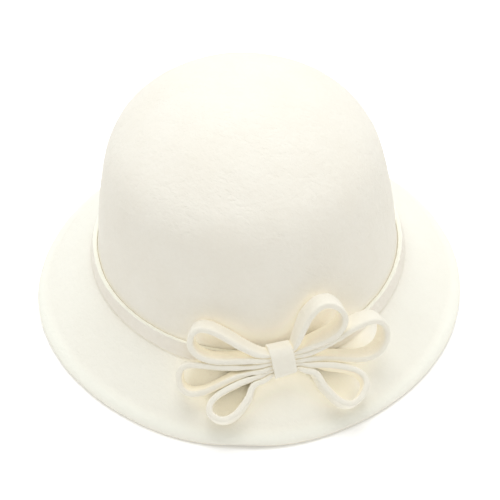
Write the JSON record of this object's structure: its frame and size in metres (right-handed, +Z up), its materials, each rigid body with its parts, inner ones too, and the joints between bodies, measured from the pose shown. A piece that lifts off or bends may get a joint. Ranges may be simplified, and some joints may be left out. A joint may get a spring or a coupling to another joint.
{
  "type": "felt hat with bow",
  "caption": "Ivory blocked felt hat with a round crown, a short down-turned brim, a felt band and a flat looped felt bow at the front.",
  "frame": {"origin": "under the middle of the brim, on the surface the hat stands on", "axes": "+Z up through the crown, -Y towards the front with the bow, +X towards the viewer's right"},
  "size_m": [0.2518, 0.2778, 0.1399],
  "materials": {
    "body_felt": "matte pressed wool felt, ivory",
    "trim_felt": "matte pressed wool felt, ivory"
  },
  "bodies": {
    "root": {"felt_body": "body_felt", "felt_band": "trim_felt", "bow_loop_upper_left": "trim_felt", "bow_loop_middle_left": "trim_felt", "bow_loop_lower_left": "trim_felt", "bow_loop_upper_right": "trim_felt", "bow_loop_middle_right": "trim_felt", "bow_loop_lower_right": "trim_felt", "bow_knot": "trim_felt"}
  },
  "joints": []
}
